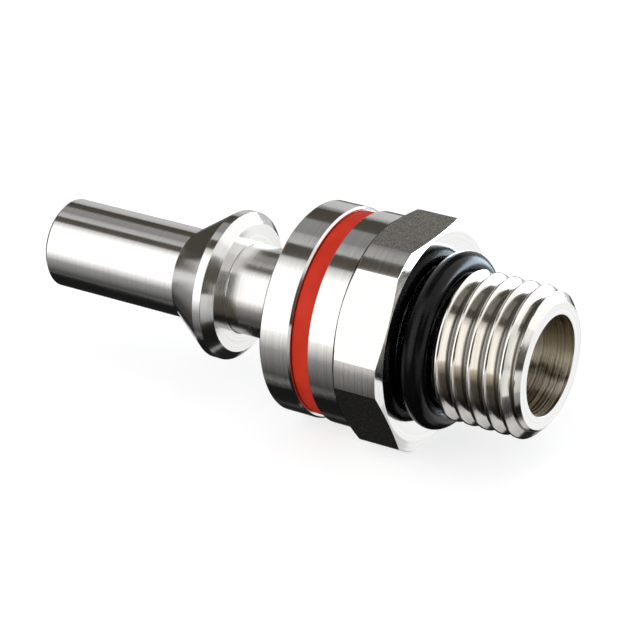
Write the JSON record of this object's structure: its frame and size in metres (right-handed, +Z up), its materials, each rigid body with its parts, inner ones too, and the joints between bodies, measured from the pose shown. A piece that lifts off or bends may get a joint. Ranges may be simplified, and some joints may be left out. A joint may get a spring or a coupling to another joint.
{
  "type": "liquid cooling quick coupling",
  "caption": "Plug half of a flat-faced liquid cooling quick coupling: nose with sprung flush valve, latch collar, coloured ring, wrench hexagon and O-ring sealed threaded port stud.",
  "frame": {"origin": "on the flow axis, in the plane of the hexagon's sealing face", "axes": "+X along the flow axis towards the port stud, the nose points to -X, +Z up out of the upper wrench flat, and the part lies on its lower wrench flat"},
  "size_m": [0.0416, 0.0172, 0.0158],
  "materials": {
    "stainless": "fine turned stainless steel",
    "valve_steel": "smooth machined stainless steel",
    "spring_steel": "drawn wire",
    "ring_red": "matte moulded plastic",
    "seal_black": "moulded rubber"
  },
  "bodies": {
    "coupling": {"plug_body": "stainless", "port_adapter": "stainless", "ident_ring": "ring_red", "port_o_ring": "seal_black", "body_seal": "seal_black", "valve_spring": "spring_steel", "stem_guide": "valve_steel", "guide_retainer": "spring_steel"},
    "valve": {"valve_poppet": "valve_steel", "poppet_seal": "seal_black"}
  },
  "joints": [
    {"name": "valve_slide", "type": "slide", "parent": "coupling", "child": "valve", "axis": [1, 0, 0], "range_m": [0, 0.003], "stiffness_N_per_m": 1200, "deforming": ["valve_spring"]}
  ]
}
